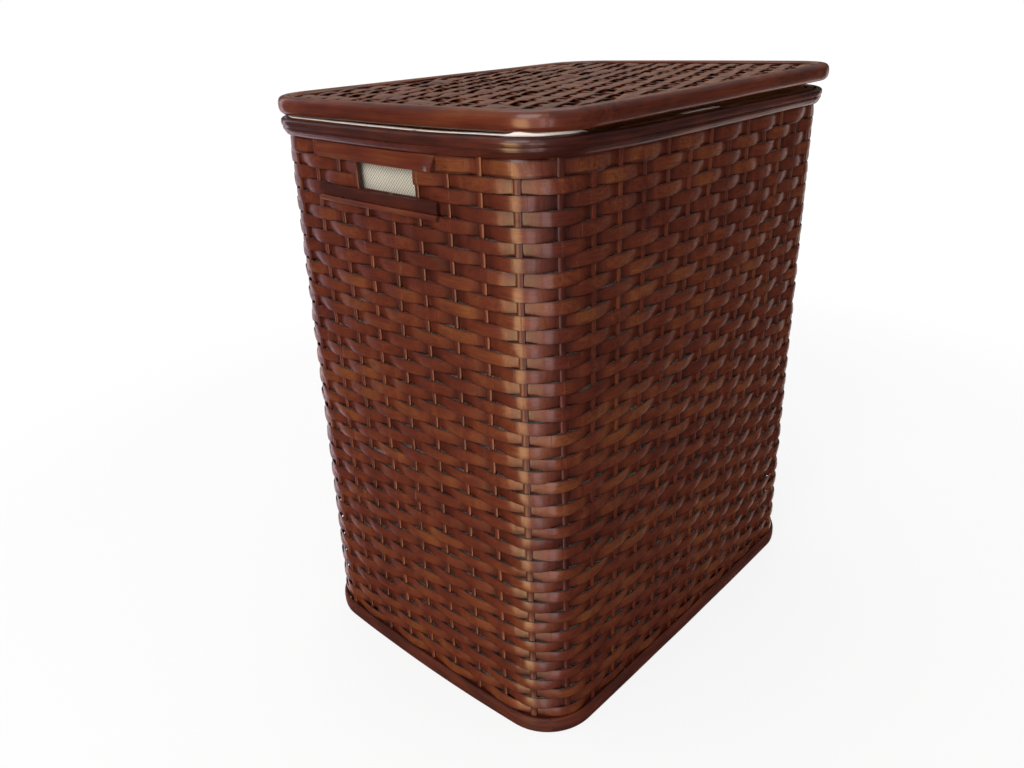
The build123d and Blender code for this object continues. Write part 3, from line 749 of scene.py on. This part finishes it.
# the wall, closer to the weave at the hand holes and calm below the hem
by_holes = hole_window(left_open) + hole_window(right_open)
for z in (*np.linspace(LINER_LOW + 0.004, MOUTH - 0.02, 70), *np.linspace(MOUTH - 0.017, MOUTH - 0.002, 6)):
    calm = smooth((MOUTH - 0.012 - z) / 0.06)
    low = smooth((0.16 - z) / 0.16)
    depth = (0.0005 + 0.0015 * calm + 0.0016 * low) * folds(z) + 0.0012 * low * np.cos(z * 160 + sag_phase)
    at_hole = smooth(1 - abs(z - SLOT_MIDDLE) / 0.045) * by_holes
    fold = np.clip(depth, -0.0020, 0.008) + 0.0012 * calm
    inset = LINER_INSET + fold * (1 - at_hole) - 0.0022 * at_hole
    points, _ = wall(t, z, inset)
    points[:, 2] -= slipped * smooth((z - MOUTH + 0.032) / 0.030)
    add_ring(points)

hem_start = len(rings)

# over the rim: a rolled hem, slipped inside the rim at the front and bunched thick round the front left
# corner. reach is how far it comes out past the weave's outer face, and roll is the radius of its edge
reach = -0.0024 + 0.0052 * bunched - 0.0074 * front + 0.0062 * shown - 0.0030 * caught
reach += drift(t, 60, 0.0004) * (1 - 0.7 * front)
roll = 0.00024 + 0.00111 * bunched + np.clip(drift(t, 90, 0.0001), -0.0002, 0.0003)
roll = np.clip(roll + bunched * drift(t, 120, 0.00042), 0.00018, 0.0022)
rise = corner_rise(t, MOUTH)
level = MOUTH + 0.0003 - slipped + rise
inner = np.full_like(t, -LINER_INSET)
turn_out = 0.002 - 0.27 * slipped
for k in range(3):                                     # up and over the inner edge
    a = math.pi / 2 * (k + 1) / 3
    out_by = inner + turn_out * (1 - math.cos(a))
    points, _ = wall(t, MOUTH, -out_by)
    points[:, 2] = MOUTH - 0.002 - slipped + rise + (0.002 + 2 * roll * 0.6 + 0.0003) * math.sin(a)
    add_ring(points)
for k in range(1, 6):                                  # out along the rim's top
    part = k / 5
    out_by = (inner + turn_out) * (1 - part) + (reach - roll) * part
    points, _ = wall(t, MOUTH, -out_by)
    points[:, 2] = level + 2 * roll * (0.6 + 0.4 * part) + 0.0002 * np.sin(2 * math.pi * 70 * t + k)
    add_ring(points)
for k in range(1, 9):                                  # round the rolled edge
    a = math.pi * k / 8
    points, _ = wall(t, MOUTH, -(reach - roll + roll * math.sin(a)))
    points[:, 2] = level + roll + roll * math.cos(a)
    add_ring(points)
for part in (0.3, 0.6, 1.0):                           # and back underneath
    points, _ = wall(t, MOUTH, -(reach - roll - 0.006 * part))
    points[:, 2] = level
    add_ring(points)

n, m = ROUND_POINTS, len(rings)
points = np.concatenate([np.stack(rings).reshape(-1, 3), [[0, 0, LINER_LOW + 0.0014]]])
i, j = np.meshgrid(np.arange(m - 1), np.arange(n), indexing="ij")
j2 = (j + 1) % n
quads = np.stack([i * n + j, i * n + j2, (i + 1) * n + j2, (i + 1) * n + j], -1).reshape(-1, 4)
fan = [[m * n, (k + 1) % n, k] for k in range(n)]
marks = np.zeros((len(points), 3))
marks[:-1, 0] = np.tile(t * perimeter, m)
marks[:-1, 1] = np.repeat(cloth_run, n)
marks[hem_start * n:-1, 2] = 1.0                       # the hem is plain white tape
liner = mesh_piece("liner", points, quads.tolist() + fan, marks, liner_cloth, "basket",
                   ("liner_bag", "liner_hem"), 180)
solid = liner.modifiers.new("thickness", "SOLIDIFY")
solid.thickness, solid.offset = 0.0004, 0.0

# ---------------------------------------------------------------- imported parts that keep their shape
for finish, names in (
    (inside_round, ("rim_inner_band", "base_inner_band", "lid_edge_band", "lid_locating_ring")),
    (floor_cross, ("left_handle_inner_battens", "right_handle_inner_battens", "lid_battens",
                   "floor_battens", "floor_cross_splints")),
    (floor_long, ("floor_long_splints",)),
    (nail_steel, ("rim_brads", "base_brads", "lid_brads")),
):
    for name in names:
        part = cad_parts[name]
        part.data.materials.clear()
        part.data.materials.append(finish)

# ---------------------------------------------------------------- stage, light and camera
FLOOR = 8
floor_mesh = bpy.data.meshes.new("floor")
floor_corners = [(-FLOOR, -FLOOR, 0), (FLOOR, -FLOOR, 0), (FLOOR, FLOOR, 0), (-FLOOR, FLOOR, 0)]
floor_mesh.from_pydata(floor_corners, [], [(0, 1, 2, 3)])
floor = bpy.data.objects.new("floor", floor_mesh)
bpy.context.scene.collection.objects.link(floor)
paper, tree, shader = new_material("paper_floor")
shader.inputs["Base Color"].default_value = (0.12, 0.12, 0.12, 1)
shader.inputs["Roughness"].default_value = 0.9
shader.inputs["Emission Color"].default_value = (1, 1, 1, 1)
place = node(tree, "TexCoord").outputs["Object"]
away = node(tree, "VectorMath", {0: place}, operation="LENGTH").outputs["Value"]
tree.links.new(span(tree, away, 0.7, 2.0, 0.80, 0.92), shader.inputs["Emission Strength"])
floor_mesh.materials.append(paper)
floor.visible_glossy = False

world = bpy.data.worlds.new("studio")
bpy.context.scene.world = world
world.use_nodes = True
tree = world.node_tree
background = tree.nodes["Background"]
direction = node(tree, "TexCoord").outputs["Generated"]
x, y, z = node(tree, "SeparateXYZ", {0: direction}).outputs
flat_size = calc(tree, "SQRT", weighted(tree, x, y, x, y))


def panel(azimuth, half_width, soft, colour, low=-0.75, high=-0.05):
    """A tall soft panel of light in that direction; low and high are the sines of its ends' elevations."""
    a = math.radians(azimuth)
    ahead = weighted(tree, x, y, math.cos(a), math.sin(a))
    ahead = calc(tree, "DIVIDE", ahead, calc(tree, "MAXIMUM", flat_size, 0.001))
    outer, inner = math.cos(math.radians(half_width + soft)), math.cos(math.radians(half_width))
    above, below = span(tree, z, low, low + 0.2), span(tree, z, high, high + 0.3, 1.0, 0.0)
    mask = calc(tree, "MULTIPLY", span(tree, ahead, outer, inner), calc(tree, "MULTIPLY", above, below))
    return node(tree, "Mix", {0: mask, 6: (0, 0, 0, 1), 7: (*colour, 1)}, data_type="RGBA").outputs[2]


# soft light for the body of the colours, stronger from the left; for the gloss, darkness with bright panels
height = span(tree, z, -1, 1, 0, 1, "LINEAR")
leftward = calc(tree, "ADD", 0.92, weighted(tree, x, y, -0.43, -0.03))
leftward = node(tree, "CombineColor", {0: leftward, 1: leftward, 2: leftward}).outputs[0]
soft_sky = ramp(tree, height, [(0.0, grey(0.20)), (0.48, grey(0.22)), (0.56, grey(0.75)), (0.8, grey(1.0))])
soft_sky = blend(tree, 1.0, soft_sky, leftward, "MULTIPLY")
gloss_sky = ramp(tree, height, [(0.0, grey(0.006)), (0.52, grey(0.010)), (0.60, grey(0.05)),
                                (0.67, grey(0.18)), (0.8, grey(0.35))])
for lit in (
    panel(184, 6, 10, (11.0, 7.2, 3.6)),
    panel(226, 6, 8, (4.0, 3.2, 3.2)),
    panel(205, 7, 9, (1.3, 1.0, 0.95)),
    panel(92, 3, 6, (2.0, 1.7, 2.0), high=0.3),
    panel(66, 6, 8, (2.0, 1.8, 1.7), high=-0.15),
    panel(0, 4, 6, (1.6, 1.3, 1.2), high=-0.15),
    panel(40, 14, 10, (0.60, 0.46, 0.30), low=0.14, high=0.32),
):
    gloss_sky = blend(tree, 1.0, gloss_sky, lit, "ADD")
path = node(tree, "LightPath")
sky = blend(tree, path.outputs["Is Glossy Ray"], soft_sky, gloss_sky)
tree.links.new(blend(tree, path.outputs["Is Camera Ray"], sky, (1, 1, 1, 1)), background.inputs["Color"])


def lamp(name, place, target, size, energy):
    light = bpy.data.lights.new(name, "AREA")
    light.shape, light.size, light.size_y, light.energy = "RECTANGLE", size, size, energy
    lamp_object = bpy.data.objects.new(name, light)
    lamp_object.location = place
    lamp_object.rotation_euler = (Vector(target) - Vector(place)).to_track_quat("-Z", "Y").to_euler()
    bpy.context.scene.collection.objects.link(lamp_object)


lamp("key", (-2.4, -0.7, 1.9), (0, 0, 0.3), 1.6, 45)
lamp("top", (0.2, 0.3, 2.6), (0, 0, 0.5), 2.0, 20)

# the photo's camera: its place in metres, its yaw, pitch and roll in radians, its focal length in pixels
CAMERA_PLACE, CAMERA_TURN = (-0.7189, -0.5773, 0.6792), (0.8203, 0.4254, -0.0329)
FOCAL_LENGTH, PICTURE_WIDTH, SENSOR_WIDTH = 829.73, 1024, 36.0
camera_data = bpy.data.cameras.new("camera")
camera = bpy.data.objects.new("camera", camera_data)
bpy.context.scene.collection.objects.link(camera)
yaw, pitch, roll = CAMERA_TURN
ahead = Vector((math.sin(yaw) * math.cos(pitch), math.cos(yaw) * math.cos(pitch), -math.sin(pitch)))
sideways = Vector((math.cos(yaw), -math.sin(yaw), 0))
above = sideways.cross(ahead)
right = sideways * math.cos(roll) + above * math.sin(roll)
up = above * math.cos(roll) - sideways * math.sin(roll)
facing = Matrix((right, up, -ahead)).transposed().to_4x4()
camera.matrix_world = Matrix.Translation(CAMERA_PLACE) @ facing
camera_data.sensor_width, camera_data.lens = SENSOR_WIDTH, FOCAL_LENGTH / PICTURE_WIDTH * SENSOR_WIDTH
camera_data.clip_start = 0.01
bpy.context.scene.camera = camera
bpy.context.scene.view_settings.view_transform = "Standard"
